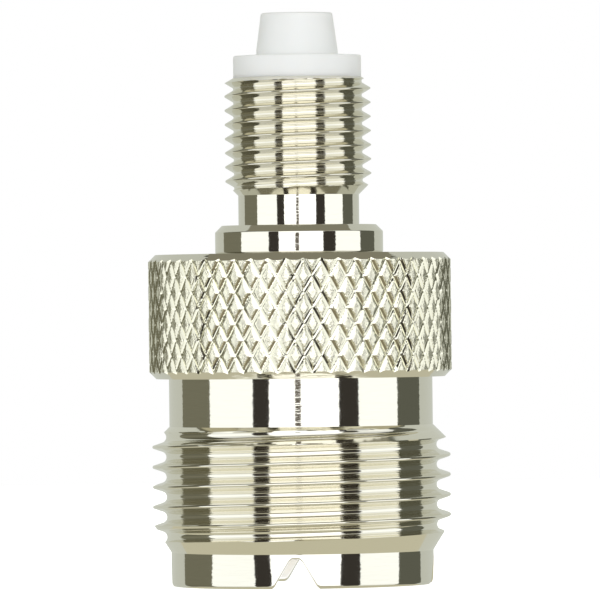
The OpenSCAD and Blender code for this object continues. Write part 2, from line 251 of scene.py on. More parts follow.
def add_crown(bm, top_z, outer_r, inner_r, outer_round, inner_round, end_z, cut, columns, count,
              outside, inside):
    """The end of a tube, with rounded edges and cuts that run straight through its wall.

    cut lists (distance from the middle of the cut, height of the cut there) from the middle out. The
    rows run from the outside wall at top_z round the end of the tube to the inside wall at top_z."""
    share = columns // count
    half = share // 2
    outer_angles = np.zeros(columns)
    inner_angles = np.zeros(columns)
    heights = np.zeros(columns)
    last = len(cut) - 1
    for sector in range(count):
        for k in range(-half, share - half):
            i = (sector * share + k) % columns
            side = math.copysign(1, k)
            reach = min(abs(k), last)
            place, height = cut[reach]
            out = math.asin(place / outer_r)
            into = math.asin(place / inner_r)
            if abs(k) > last:
                rest = (abs(k) - last) / (half - last)
                out += rest * (math.pi / count - out)
                into += rest * (math.pi / count - into)
                height = 0.0
            middle = 2 * math.pi * sector / count
            outer_angles[i] = middle + side * out
            inner_angles[i] = middle + side * into
            heights[i] = height
    outer_soft = BURR + (outer_round - BURR) * np.clip(1 - heights / outer_round, 0, 1)
    inner_soft = BURR + (inner_round - BURR) * np.clip(1 - heights / inner_round, 0, 1)

    def level(angles, radius, z):
        return np.stack([radius * np.cos(angles), radius * np.sin(angles), end_z + z], axis=1)

    quarter = [math.pi / 2 * k / ROUND_STEPS for k in range(ROUND_STEPS + 1)]
    rings = [ring(outer_r, top_z, even_angles(columns)),
             level(outer_angles, outer_r, heights + outer_soft + GUARD)]
    for a in quarter:
        rings.append(level(outer_angles, outer_r - outer_soft * (1 - math.cos(a)),
                           heights + outer_soft * (1 - math.sin(a))))
    for a in reversed(quarter):
        rings.append(level(inner_angles, inner_r + inner_soft * (1 - math.cos(a)),
                           heights + inner_soft * (1 - math.sin(a))))
    add_wall(bm, rings, outside)
    inner = [rings[-1], level(inner_angles, inner_r, heights + inner_soft + GUARD),
             ring(inner_r, top_z, even_angles(columns))]
    add_wall(bm, inner, inside)


class Wire:
    """An output in a node tree. Arithmetic on it adds Math nodes."""

    def __init__(self, tree, socket):
        self.tree = tree
        self.socket = socket

    def math(self, operation, *others):
        node = self.tree.nodes.new("ShaderNodeMath")
        node.operation = operation
        for socket, value in zip(node.inputs, (self, *others)):
            feed(self.tree, socket, value)
        return Wire(self.tree, node.outputs[0])

    def __add__(self, other):
        return self.math("ADD", other)

    def __sub__(self, other):
        return self.math("SUBTRACT", other)

    def __mul__(self, other):
        return self.math("MULTIPLY", other)

    def __truediv__(self, other):
        return self.math("DIVIDE", other)

    def least(self, other):
        return self.math("MINIMUM", other)

    def most(self, other):
        return self.math("MAXIMUM", other)

    def within(self, low, high):
        return self.most(low).least(high)

    def left_of_one(self):
        return self * -1.0 + 1.0

    def floor(self):
        return self.math("FLOOR")

    def round(self):
        return self.math("ROUND")

    def sin(self):
        return self.math("SINE")

    def cos(self):
        return self.math("COSINE")

    def size(self):
        return self.math("ABSOLUTE")

    def sign(self):
        return self.math("SIGN")


def feed(tree, socket, value):
    """Joins a wire to a socket, or sets the socket to a plain value."""
    if isinstance(value, Wire):
        tree.links.new(value.socket, socket)
    else:
        socket.default_value = value


def add_node(tree, kind, values=None, **settings):
    """A node with its settings, and with values or wires on the named inputs."""
    node = tree.nodes.new(kind)
    for name, setting in settings.items():
        setattr(node, name, setting)
    for name, value in (values or {}).items():
        feed(tree, node.inputs[name], value)
    return node


def new_shape_tree(name, sizes):
    """A Geometry Nodes tree with a named input for each size; returns it with a wire for each input."""
    tree = bpy.data.node_groups.new(name, "GeometryNodeTree")
    for label, value in sizes.items():
        kind = "NodeSocketInt" if isinstance(value, int) else "NodeSocketFloat"
        if isinstance(value, bpy.types.Material):
            kind = "NodeSocketMaterial"
        tree.interface.new_socket(label, in_out="INPUT", socket_type=kind)
    tree.interface.new_socket("Mesh", in_out="OUTPUT", socket_type="NodeSocketGeometry")
    inputs = tree.nodes.new("NodeGroupInput")
    return tree, {label: Wire(tree, inputs.outputs[label]) for label in sizes}


def grid_place(tree, columns, rows):
    """A grid with its column and row numbers as wires."""
    grid = add_node(tree, "GeometryNodeMeshGrid", {
        "Size X": 1.0, "Size Y": 1.0, "Vertices X": columns + 1, "Vertices Y": rows + 1})
    position = tree.nodes.new("GeometryNodeInputPosition")
    split = tree.nodes.new("ShaderNodeSeparateXYZ")
    tree.links.new(position.outputs[0], split.inputs[0])
    column = ((Wire(tree, split.outputs["X"]) + 0.5) * columns).round()
    row = ((Wire(tree, split.outputs["Y"]) + 0.5) * rows).round()
    return Wire(tree, grid.outputs["Mesh"]), column, row


def wrap_round_axis(tree, mesh, angle, radius, height, marks, material):
    """Moves the grid to its places round the axis, marks it, closes its seam and gives it its material."""
    place = add_node(tree, "ShaderNodeCombineXYZ", {
        "X": radius * angle.cos(), "Y": radius * angle.sin(), "Z": height})
    for label, value in marks.items():
        stored = add_node(tree, "GeometryNodeStoreNamedAttribute", {
            "Geometry": mesh, "Name": label, "Value": value}, data_type="FLOAT", domain="POINT")
        mesh = Wire(tree, stored.outputs["Geometry"])
    moved = add_node(tree, "GeometryNodeSetPosition", {
        "Geometry": mesh, "Position": Wire(tree, place.outputs["Vector"])})
    closed = add_node(tree, "GeometryNodeMergeByDistance", {
        "Geometry": Wire(tree, moved.outputs["Geometry"]), "Distance": WELD})
    real = add_node(tree, "GeometryNodeRealizeInstances", {
        "Geometry": Wire(tree, closed.outputs["Geometry"])})
    faced = add_node(tree, "GeometryNodeSetMaterial", {
        "Geometry": Wire(tree, real.outputs["Geometry"]), "Material": material})
    out = tree.nodes.new("NodeGroupOutput")
    tree.links.new(faced.outputs["Geometry"], out.inputs["Mesh"])


def mesh_from_tree(tree, sizes):
    """Runs a Geometry Nodes tree with these sizes and returns a plain mesh."""
    holder = bpy.data.objects.new(tree.name, bpy.data.meshes.new(tree.name))
    bpy.context.scene.collection.objects.link(holder)
    modifier = holder.modifiers.new("shape", "NODES")
    modifier.node_group = tree
    for item in tree.interface.items_tree:
        if item.in_out == "INPUT":
            modifier[item.identifier] = sizes[item.name]
    bpy.context.view_layer.update()
    shaped = holder.evaluated_get(bpy.context.evaluated_depsgraph_get())
    mesh = bpy.data.meshes.new_from_object(shaped)
    holder.modifiers.remove(modifier)
    bpy.data.objects.remove(holder)
    return mesh


def thread_mesh(sizes):
    """A right-hand thread whose rows of points follow the helix.

    A pitch runs from crest to crest. Its rows are shared out between the crest, the straight flanks and
    the round root, and the chamfered ends cut the whole thread off at its two end circles."""
    tree, size = new_shape_tree("helical thread", sizes)
    pitch = size["Pitch"]
    groove = size["Groove depth"]
    root = size["Root radius"]
    arc = size["Root arc"]
    crest_half = size["Crest flat"] / 2
    length = size["Length"]
    root_share = size["Root share"]
    flank_share = size["Flank share"]
    mesh, column, row = grid_place(tree, size["Columns"], size["Rows"])
    turned = column / size["Columns"]
    lap = ((row + 0.5) / size["Rows per pitch"]).floor()
    along = row / size["Rows per pitch"] - lap - 0.5
    from_root = along.size() * 2
    bend = (from_root / root_share).least(1.0) * arc
    climb = ((from_root - root_share) / flank_share).within(0.0, 1.0)
    top = ((from_root - root_share - flank_share) / size["Crest share"]).within(0.0, 1.0)
    flank_start = root * arc.sin()
    step = root * bend.sin() + climb * (pitch / 2 - crest_half - flank_start) + top * crest_half
    middle = pitch * (turned - size["Turn"] + lap - 0.5) - crest_half
    height = (middle + along.sign() * step).within(0.0, length)
    root_rise = root - root * arc.cos()
    drop = top.left_of_one() * top.left_of_one() * size["Crest round"]
    cut = size["Crest radius"] - groove + root - root * bend.cos() + climb * (groove - root_rise - drop)
    low_end = size["Low radius"] + height * size["Low slope"]
    high_end = size["High radius"] + (length - height) * size["High slope"]
    radius = cut.least(low_end.least(high_end))
    angle = turned * (2 * math.pi)
    wrap_round_axis(tree, mesh, angle, radius, height + size["Base height"], {}, size["Material"])
    return mesh_from_tree(tree, sizes)


def knurl_mesh(sizes):
    """A diamond knurl on a lattice whose two families of lines run along the grooves.

    Each line is numbered by the groove that it lies in or between, a for the grooves that rise to the
    right and b for those that rise to the left. A diamond lies between two neighbouring grooves of each
    family."""
    tree, size = new_shape_tree("diamond knurl", sizes)
    steps = size["Groove steps"] + size["Land steps"]
    unit = steps * 2
    around = size["Around"]
    levels = size["Levels"]
    edge = size["End chamfer"]
    end_rows = size["End rows"]
    mesh, column, row = grid_place(tree, around * unit, levels * unit + end_rows * 2)
    level_row = (row - end_rows).within(0.0, levels * unit)
    groove_half = size["Land share"].left_of_one() / 2

    def line(number):
        whole = (number / unit + ROUNDING).floor()
        inside = number - whole * unit
        folded = inside.least(unit - inside)
        into_groove = (folded / size["Groove steps"]).least(1.0).math("POWER", size["Groove crowding"])
        onto_land = ((folded - size["Groove steps"]) / size["Land steps"]).most(0.0)
        place = into_groove * groove_half + onto_land * (size["Land share"] / 2)
        mirrored = inside.math("GREATER_THAN", steps)
        return whole, place, whole + place + mirrored * (place * -2.0 + 1.0)

    def sunk(place):
        share = (place / groove_half).least(1.0)
        bottom = size["Groove round"]
        reach = (bottom * bottom + 1.0).math("SQRT") - bottom
        climbed = ((share * share + bottom * bottom).math("SQRT") - bottom) / reach
        return climbed.left_of_one().most(0.0).math("POWER", size["Shoulder"])

    whole_a, place_a, a = line(column)
    whole_b, place_b, b = line(level_row - column)
    depth_share = sunk(place_a).most(sunk(place_b))
    angle = (a - b + size["Turn"]) * math.pi / around
    across = (whole_a - whole_b).math("FLOORED_MODULO", around * 2)
    number = across * DIAMOND_STRIDE + whole_a + whole_b
    chance = add_node(tree, "FunctionNodeRandomValue", {
        "Seed": size["Seed"]}, data_type="FLOAT")
    chance.inputs["Min"].default_value = -1.0
    chance.inputs["Max"].default_value = 1.0
    feed(tree, chance.inputs["ID"], number)
    uneven = Wire(tree, chance.outputs["Value"]) * size["Unevenness"] * depth_share.left_of_one()
    sink = depth_share * size["Groove depth"] + uneven.size()
    beyond = row - end_rows - level_row
    left = (end_rows - beyond.size()) / (end_rows - 1)
    onto_cone = beyond.size().least(1.0)
    from_end = edge + onto_cone * ((edge - sink) * left - edge)
    over = beyond.math("GREATER_THAN", 0.5)
    level = edge + (a + b) * ((size["Height"] - edge * 2) / levels)
    on_cone = from_end + over * (size["Height"] - from_end * 2.0)
    height = level + onto_cone * (on_cone - level)
    radius = size["Radius"] - sink.most(edge - from_end)
    wrap_round_axis(tree, mesh, angle, radius, height + size["Base height"],
                    {"groove": depth_share}, size["Material"])
    return mesh_from_tree(tree, sizes)


def add_mesh(bm, mesh, material):
    """Adds a mesh to the piece, with its faces in the given material slot."""
    before = len(bm.faces)
    bm.from_mesh(mesh)
    bm.faces.ensure_lookup_table()
    for face in bm.faces[before:]:
        face.material_index = material
    bpy.data.meshes.remove(mesh)


def ring_at(bm, radius, height):
    """The points of the piece that lie on one circle."""
    return [v for v in bm.verts
            if abs(v.co.z - height) < WELD and abs(math.hypot(v.co.x, v.co.y) - radius) < NEAR]


def turn_grip_ends(bm):
    """Gives the two chamfers of the grip the plain turned finish."""
    def on_chamfer(point):
        from_end = min(point.z - knurl_z, knurl_top - point.z)
        cone_r = KNURL_R - KNURL_EDGE + from_end
        return from_end < KNURL_EDGE + WELD and abs(math.hypot(point.x, point.y) - cone_r) < NEAR

    for face in bm.faces:
        if face.material_index == KNURLED and all(on_chamfer(vert.co) for vert in face.verts):
            face.material_index = TURNED


def add_piece(bm, name, node, materials):
    """Welds the piece, turns its faces outward, and puts it in the scene in place of its solid."""
    bmesh.ops.remove_doubles(bm, verts=bm.verts, dist=WELD)
    bmesh.ops.dissolve_degenerate(bm, dist=WELD / 10, edges=bm.edges)
    bmesh.ops.recalc_face_normals(bm, faces=bm.faces)
    mesh = bpy.data.meshes.new(name)
    bm.to_mesh(mesh)
    bm.free()
    for material in materials:
        mesh.materials.append(material)
    mesh.shade_smooth()
    mesh.set_sharp_from_angle(angle=SHARP)
    piece = bpy.data.objects.new(name, mesh)
    bpy.context.scene.collection.objects.link(piece)
    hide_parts(node)
    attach(piece, "root")


# Pairs of colours that each material wanders between
NICKEL_COLOURS = ((0.765, 0.745, 0.66), (0.795, 0.775, 0.70))
# Painted light: the threaded and knurled nickel are lighter copies of the turned nickel's colour, which
# brightens the thread and the knurl against the shade of their grooves
THREAD_PAINTED_LIGHT_COLOURS = ((0.81, 0.787, 0.69), (0.84, 0.817, 0.73))
KNURL_PAINTED_LIGHT_COLOURS = ((0.87, 0.85, 0.70), (0.905, 0.885, 0.745))
# Painted light: the bored nickel is a much lighter copy of the turned nickel's colour, so the shaded inner
# wall of the mouth looks bright
BORE_PAINTED_LIGHT_COLOURS = ((0.92, 0.90, 0.82), (0.95, 0.93, 0.86))
WHITE_COLOURS = ((0.915, 0.94, 0.935), (0.935, 0.955, 0.95))
GOLD_COLOURS = ((0.83, 0.60, 0.27), (0.90, 0.70, 0.38))

# How much finer than across it the turning lines are along the axis, and how deep they are
NICKEL_LINES = (1.0, 1.0, 6.0)
FINE_LINES = (1.0, 1.0, 20.0)
WHITE_LINE_DEPTH = 0.0006 * MM
GOLD_LINE_DEPTH = 0.0008 * MM

# How fast the skin of a knurled land ends towards the groove, and the share of its grain in the groove
LAND_FADE = 2.5
GROOVE_GRAIN = 0.1

# Sockets of a Mix node that blends colours
MIX_SHARE = 0
MIX_FIRST = 6
MIX_SECOND = 7
MIX_COLOUR = 2


def new_material(name):
    """A material with its tree, its shader and a wire of its Object coordinates."""
    material = bpy.data.materials.new(name)
    material.use_nodes = True
    tree = material.node_tree
    shader = tree.nodes["Principled BSDF"]
    place = tree.nodes.new("ShaderNodeTexCoord").outputs["Object"]
    return material, tree, shader, Wire(tree, place)


def noise(tree, place, scale, detail=3.0, stretch=(1.0, 1.0, 1.0)):
    """A noise value from 0 to 1, with grains of about 1 / scale metres."""
    stretched = add_node(tree, "ShaderNodeMapping", {"Vector": place, "Scale": stretch})
    grain = add_node(tree, "ShaderNodeTexNoise", {
        "Vector": Wire(tree, stretched.outputs["Vector"]), "Scale": scale, "Detail": detail})
    return Wire(tree, grain.outputs[0])


def wandering(tree, place, scale, least, spread):
    """A value that wanders between least and least + spread."""
    return noise(tree, place, scale) * spread + least


def blend_colours(tree, share, first, second):
    mix = add_node(tree, "ShaderNodeMix", data_type="RGBA")
    feed(tree, mix.inputs[MIX_SHARE], share)
    feed(tree, mix.inputs[MIX_FIRST], (*first, 1))
    feed(tree, mix.inputs[MIX_SECOND], (*second, 1))
    return Wire(tree, mix.outputs[MIX_COLOUR])


def add_relief(tree, shader, height):
    """Fine relief of the given height in metres."""
    bump = add_node(tree, "ShaderNodeBump", {"Height": height, "Distance": 1.0, "Strength": 1.0})
    tree.links.new(bump.outputs["Normal"], shader.inputs["Normal"])


def nickel_plate(name, colours, turning, grain, roughness, land_roughness=None):
    """Bright nickel plate over turned brass: turning lines along the axis and a fine grain.

    turning and grain are depths in metres. Where the piece is knurled, the lands between the grooves
    keep a rougher, grained skin."""
    material, tree, shader, place = new_material(name)
    shader.inputs["Metallic"].default_value = 1.0
    tint = noise(tree, place, scale=260.0)
    feed(tree, shader.inputs["Base Color"], blend_colours(tree, tint, *colours))
    lines = noise(tree, place, scale=900.0, detail=2.0, stretch=NICKEL_LINES)
    specks = noise(tree, place, scale=7000.0, detail=4.0)
    gloss = wandering(tree, place, scale=1500.0, least=roughness, spread=0.05)
    if land_roughness is not None:
        mark = add_node(tree, "ShaderNodeAttribute", attribute_name="groove")
        land = (Wire(tree, mark.outputs["Fac"]) * -LAND_FADE + 1.0).within(0.0, 1.0)
        gloss = gloss + land * land_roughness
        specks = specks * (land + GROOVE_GRAIN)
    feed(tree, shader.inputs["Roughness"], gloss)
    add_relief(tree, shader, lines * turning + specks * grain)
    return material


def white_insulator():
    """Turned white fluoroplastic, slightly see-through at its edges."""
    material, tree, shader, place = new_material("white insulator")
    cloud = noise(tree, place, scale=400.0)
    feed(tree, shader.inputs["Base Color"], blend_colours(tree, cloud, *WHITE_COLOURS))
    shader.inputs["Subsurface Weight"].default_value = 0.6
    shader.inputs["Subsurface Radius"].default_value = (1.0, 1.05, 1.1)
    shader.inputs["Subsurface Scale"].default_value = 0.5 * MM
    shader.inputs["IOR"].default_value = 1.37
    feed(tree, shader.inputs["Roughness"], wandering(tree, place, scale=1500.0, least=0.3, spread=0.15))
    lines = noise(tree, place, scale=600.0, detail=2.0, stretch=FINE_LINES)
    add_relief(tree, shader, lines * WHITE_LINE_DEPTH)
    return material


def gold_contact():
    """Thin gold plate over turned brass."""
    material, tree, shader, place = new_material("gold contact")
    shader.inputs["Metallic"].default_value = 1.0
    tint = noise(tree, place, scale=700.0)
    feed(tree, shader.inputs["Base Color"], blend_colours(tree, tint, *GOLD_COLOURS))
    feed(tree, shader.inputs["Roughness"], wandering(tree, place, scale=2500.0, least=0.16, spread=0.12))
    lines = noise(tree, place, scale=1200.0, detail=2.0, stretch=FINE_LINES)
    add_relief(tree, shader, lines * GOLD_LINE_DEPTH)
    return material


turned_nickel = nickel_plate("turned nickel", NICKEL_COLOURS, turning=7.0e-6, grain=0.1e-6, roughness=0.03)
# The bored nickel colour is painted light
bored_nickel = nickel_plate("bored nickel", BORE_PAINTED_LIGHT_COLOURS, turning=4.0e-6, grain=0.1e-6, roughness=0.30)
# The threaded and knurled nickel colours are painted light
thread_nickel = nickel_plate("threaded nickel", THREAD_PAINTED_LIGHT_COLOURS, turning=0.0, grain=0.4e-6, roughness=0.06)
knurl_nickel = nickel_plate("knurled nickel", KNURL_PAINTED_LIGHT_COLOURS, turning=0.0, grain=36.0e-6, roughness=0.05,
                            land_roughness=0.2)
insulator_white = white_insulator()
contact_gold = gold_contact()
NICKEL_FINISHES = [turned_nickel, thread_nickel, knurl_nickel, bored_nickel]
TURNED, THREADED, KNURLED, BORED = range(4)


def uhf_shell():
    """Notched rim, thread, neck and knurled grip in one piece."""
    bm = bmesh.new()
    slope = math.tan(NOTCH_ANGLE)
    floor_edge = NOTCH_FLOOR / 2
    rim_edge = floor_edge + NOTCH_DEPTH * slope
    cut = [(0.0, NOTCH_DEPTH), (floor_edge - BURR, NOTCH_DEPTH)]
    for place in (floor_edge + BURR, floor_edge + (rim_edge - floor_edge) / 3,
                  floor_edge + (rim_edge - floor_edge) * 2 / 3, rim_edge - BURR):
        cut.append((place, (rim_edge - place) / slope))
    cut.append((rim_edge + BURR, 0.0))
    add_crown(bm, RIM_HEIGHT, RIM_R, MOUTH_R, RIM_ROUND, MOUTH_ROUND, shell_low.z, cut,
              SHELL_COLUMNS, NOTCH_COUNT, TURNED, BORED)
    root_share, flank_share, crest_share = UHF_ROW_SHARES
    add_mesh(bm, thread_mesh({
        "Columns": SHELL_COLUMNS, "Rows": UHF_THREAD_ROWS, "Rows per pitch": UHF_PITCH_ROWS,
        "Pitch": UHF_PITCH, "Length": UHF_THREAD_LENGTH, "Crest radius": UHF_CREST_R,
        "Groove depth": UHF_GROOVE, "Crest flat": UHF_CREST, "Root radius": UHF_ROOT,
        "Root arc": UHF_ROOT_ARC, "Root share": root_share, "Flank share": flank_share,
        "Crest share": crest_share, "Crest round": UHF_CREST_ROUND, "Low radius": RIM_R,
        "High radius": UHF_NECK_R, "Low slope": LEAD_IN, "High slope": LEAD_OUT,
        "Turn": UHF_THREAD_TURN, "Base height": uhf_thread_z, "Material": thread_nickel}), THREADED)
    add_mesh(bm, knurl_mesh({
        "Around": KNURL_COUNT, "Levels": KNURL_LEVELS, "Groove steps": KNURL_GROOVE_STEPS,
        "Land steps": KNURL_LAND_STEPS, "End rows": KNURL_END_ROWS, "Radius": KNURL_R,
        "Groove depth": KNURL_DEPTH, "Land share": KNURL_LAND, "Groove round": KNURL_GROOVE_ROUND,
        "Shoulder": KNURL_SHOULDER, "Groove crowding": KNURL_CROWDING, "Height": knurl_top - knurl_z,
        "End chamfer": KNURL_EDGE, "Unevenness": KNURL_UNEVENNESS, "Seed": KNURL_SEED,
        "Turn": KNURL_TURN, "Base height": knurl_z, "Material": knurl_nickel}), KNURLED)
    turn_grip_ends(bm)
    neck = add_turned(bm, [(UHF_NECK_R, uhf_neck_z), (UHF_NECK_R, knurl_z)], SHELL_COLUMNS, TURNED)
    inside = add_turned(bm, [(MOUTH_R, RIM_HEIGHT), (MOUTH_R, spigot_z), (SPIGOT_R, spigot_z),
                             (SPIGOT_R, knurl_top)], SHELL_COLUMNS, BORED)
    knurl_end_r = KNURL_R - KNURL_EDGE
    add_flat_ring(bm, ring_at(bm, knurl_end_r, knurl_z), neck[-1], TURNED)
    add_flat_ring(bm, ring_at(bm, knurl_end_r, knurl_top), inside[-1], TURNED)
    add_piece(bm, "nickel_shell", "uhf_shell", NICKEL_FINISHES)


def fme_body():
    """Spigot, flange, neck and thread of the small jack."""
    bm = bmesh.new()
    thread_end_r = FME_CREST_R - FME_GROOVE
    add_turned(bm, rounded([
        (thread_end_r, fme_thread_top), (FME_BORE_R, fme_thread_top), (FME_BORE_R, sleeve_high.z),
        (SLEEVE_R, sleeve_high.z), (SLEEVE_R, spigot_z), (SPIGOT_R, spigot_z), (SPIGOT_R, knurl_top),
        (FLANGE_R, knurl_top, FLANGE_FOOT_ROUND), (FLANGE_R, fme_neck_z - FLANGE_EDGE, FLANGE_ROUND),
        (FLANGE_R - FLANGE_EDGE, fme_neck_z, FLANGE_ROUND), (FME_NECK_R, fme_neck_z),
        (FME_NECK_R, fme_thread_z)]), JACK_COLUMNS, TURNED)
    root_share, flank_share, crest_share = FME_ROW_SHARES
    add_mesh(bm, thread_mesh({
        "Columns": JACK_COLUMNS, "Rows": FME_THREAD_ROWS, "Rows per pitch": FME_PITCH_ROWS,
        "Pitch": FME_PITCH, "Length": fme_thread_top - fme_thread_z, "Crest radius": FME_CREST_R,
        "Groove depth": FME_GROOVE, "Crest flat": FME_CREST, "Root radius": FME_ROOT,
        "Root arc": FME_ROOT_ARC, "Root share": root_share, "Flank share": flank_share,
        "Crest share": crest_share, "Crest round": FME_CREST_ROUND, "Low radius": FME_NECK_R,
        "High radius": thread_end_r, "Low slope": LEAD_OUT, "High slope": FLAT_END,
        "Turn": FME_THREAD_TURN, "Base height": fme_thread_z, "Material": thread_nickel}), THREADED)
    add_piece(bm, "nickel_jack", "fme_body", NICKEL_FINISHES)


def fme_insulator():
    """Disc and tapered nose of the small jack, on a stem in its bore."""
    bm = bmesh.new()
    stem_r = FME_BORE_R - SLIP
    bore_r = FME_CONTACT_R + SLIP
    add_turned(bm, rounded([
        (stem_r, nose_low.z), (stem_r, fme_thread_top), (DISC_R, fme_thread_top),
        (DISC_R, nose_z, DISC_ROUND), (NOSE_BASE_R, nose_z, DISC_ROUND), (NOSE_TIP_R, tip_z, NOSE_ROUND),
        (ENTRY_R + ENTRY_EDGE, tip_z, DISC_ROUND), (ENTRY_R, tip_z - ENTRY_EDGE, DISC_ROUND),
        (ENTRY_R, pin_high.z), (bore_r, pin_high.z), (bore_r, nose_low.z), (stem_r, nose_low.z)]),
        SMALL_COLUMNS)
    add_piece(bm, "white_nose", "fme_insulator", [insulator_white])


def uhf_insulator():
    """White plug in the mouth of the shell, with its sleeve inside the spigot."""
    bm = bmesh.new()
    body_r = MOUTH_R - SLIP
    sleeve_r = SLEEVE_R - SLIP
    bore_r = UHF_CONTACT_R + SLIP
    stud_r = STUD_R + SLIP
    add_turned(bm, rounded([
        (bore_r, sleeve_low.z), (body_r, sleeve_low.z, FACE_ROUND), (body_r, spigot_z),
        (sleeve_r, spigot_z), (sleeve_r, sleeve_high.z), (stud_r, sleeve_high.z),
        (stud_r, socket_high.z), (bore_r, socket_high.z), (bore_r, sleeve_low.z)]), SMALL_COLUMNS)
    add_piece(bm, "white_plug", "uhf_insulator", [insulator_white])


def gold_contacts():
    """The two contacts keep their solids, in gold."""
    for node in ("uhf_contact", "fme_contact"):
        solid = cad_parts[node]
        solid.data.materials.clear()
        solid.data.materials.append(contact_gold)


# The photograph's frame, where the object lies in it, and where the camera stood
PHOTO_SIZE = 600
PHOTO_SCALE = 0.053 * MM
PHOTO_FOOT_Y = 584.7
PHOTO_AXIS_X = 299.75
VIEW_DISTANCE = 430 * MM
VIEW_SIDE = math.radians(3.1)
VIEW_ROLL = math.radians(-0.65)
EYE_HEIGHT = 14.5 * MM
SENSOR_WIDTH = 36
NEAREST_SEEN = 10 * MM
FARTHEST_SEEN = 10000 * MM


def photo_camera():
    """A long lens, nearly level with the middle of the object."""
    lens = bpy.data.cameras.new("photo camera")
    camera = bpy.data.objects.new("photo camera", lens)
    bpy.context.scene.collection.objects.link(camera)
    bpy.context.scene.camera = camera
    toward = Vector((math.sin(VIEW_SIDE), -math.cos(VIEW_SIDE), 0))
    right = Vector((math.cos(VIEW_SIDE), math.sin(VIEW_SIDE), 0))
    middle = PHOTO_SIZE / 2
    aim = right * ((middle - PHOTO_AXIS_X) * PHOTO_SCALE)
    aim.z = (PHOTO_FOOT_Y - middle) * PHOTO_SCALE
    eye = toward * VIEW_DISTANCE
    eye.z = EYE_HEIGHT
    camera.rotation_mode = "QUATERNION"
    camera.location = eye
    camera.rotation_quaternion = (aim - eye).to_track_quat("-Z", "Y") @ Quaternion((0, 0, 1), VIEW_ROLL)
    lens.sensor_width = SENSOR_WIDTH
    lens.lens = SENSOR_WIDTH * VIEW_DISTANCE / (PHOTO_SIZE * PHOTO_SCALE)
    lens.clip_start = NEAREST_SEEN
    lens.clip_end = FARTHEST_SEEN


# Studio panels stand round the object and are curved about it. Flags and shades stand inside the others.
PANEL_R = 300 * MM
FLAG_R = PANEL_R * 0.98
BAR_R = PANEL_R * 0.97
PANEL_STEP_ACROSS = 3
PANEL_STEP_UP = 4

# Angles from the level of the eye, in degrees
PANEL_LOW = -28
PANEL_HIGH = 52
FRONT_LOW = -18
FLAG_HIGH = 24
BAR_HALF = 14
SHADE_HALF = 3

# Light that the panels send
REAR_LIGHT = (0.62, 0.64, 0.58)
LEFT_SIDE_LIGHT = (0.203, 0.198, 0.143)
RIGHT_SIDE_LIGHT = (0.125, 0.128, 0.10)
SIDE_BOX_LIGHT = (1.36, 1.39, 1.38)
FRONT_BOX_LIGHT = (1.75, 1.77, 1.80)
GAP_LIGHT = (0.6, 0.59, 0.5)
TABLE_EDGE_LIGHT = (0.24, 0.21, 0.145)
FLAG_LIGHT = (0.045, 0.04, 0.035)
SHADE_LIGHT = (0.16, 0.14, 0.12)
CEILING_LIGHT = (0.26, 0.25, 0.19)
TABLE_LIGHT = (0.61, 0.587, 0.45)

# For each panel: its two sides, as angles from the camera towards the right in degrees; its light and the
# share of it that is left at PANEL_R above and below the eye; its lower and upper ends; and its distance
PANELS = [
    ("left rear card", -180, -126, REAR_LIGHT, 1.0, PANEL_LOW, PANEL_HIGH, PANEL_R),
    ("left side card", -126, -86, LEFT_SIDE_LIGHT, 0.1, PANEL_LOW, PANEL_HIGH, PANEL_R),
    ("left softbox", -86, -42, SIDE_BOX_LIGHT, 0.35, PANEL_LOW, PANEL_HIGH, PANEL_R),
    ("left front gap", -42, -29, GAP_LIGHT, 1.0, PANEL_LOW, PANEL_HIGH, PANEL_R),
    ("left front softbox", -29, -5, FRONT_BOX_LIGHT, 0.55, FRONT_LOW, PANEL_HIGH, PANEL_R),
    ("middle softbox", -5, 0, FRONT_BOX_LIGHT, 0.55, FRONT_LOW, PANEL_HIGH, PANEL_R),
    ("right front softbox", 0, 36, FRONT_BOX_LIGHT, 0.55, FRONT_LOW, PANEL_HIGH, PANEL_R),
    ("right front gap", 36, 51, GAP_LIGHT, 1.0, PANEL_LOW, PANEL_HIGH, PANEL_R),
    ("right softbox", 51, 92.5, SIDE_BOX_LIGHT, 0.35, PANEL_LOW, PANEL_HIGH, PANEL_R),
    ("right side card", 92.5, 126, RIGHT_SIDE_LIGHT, 0.8, PANEL_LOW, PANEL_HIGH, PANEL_R),
    ("right rear card", 126, 180, REAR_LIGHT, 1.0, PANEL_LOW, PANEL_HIGH, PANEL_R),
    ("table edge", -29, 36, TABLE_EDGE_LIGHT, 1.0, PANEL_LOW, FRONT_LOW, PANEL_R),
    ("left front flag", -42, -29, FLAG_LIGHT, 1.0, PANEL_LOW, FLAG_HIGH, FLAG_R),
    ("right front flag", 36, 51, FLAG_LIGHT, 1.0, PANEL_LOW, FLAG_HIGH, FLAG_R),
    ("left flag bar", -42, -27.5, FLAG_LIGHT, 1.0, -BAR_HALF, BAR_HALF, BAR_R),
    ("right flag bar", 32.9, 50.2, FLAG_LIGHT, 1.0, -BAR_HALF, BAR_HALF, BAR_R),
    ("lens shade", -5, 0, SHADE_LIGHT, 1.0, -SHADE_HALF, SHADE_HALF, FLAG_R),
    ("ceiling card", -180, 180, CEILING_LIGHT, 1.0, PANEL_HIGH, 90, PANEL_R),
    ("table card", -180, 180, TABLE_LIGHT, 1.0, -90, PANEL_LOW, PANEL_R),
]

# Fill lamps, left and right of the camera
LAMP_SIZE = 160 * MM
LAMP_POWER = 0.057
LAMP_SIDE = 190 * MM
LAMP_FRONT = 120 * MM
LAMP_HEIGHT = 110 * MM
LAMP_AIM = Vector((0, 0, 20 * MM))

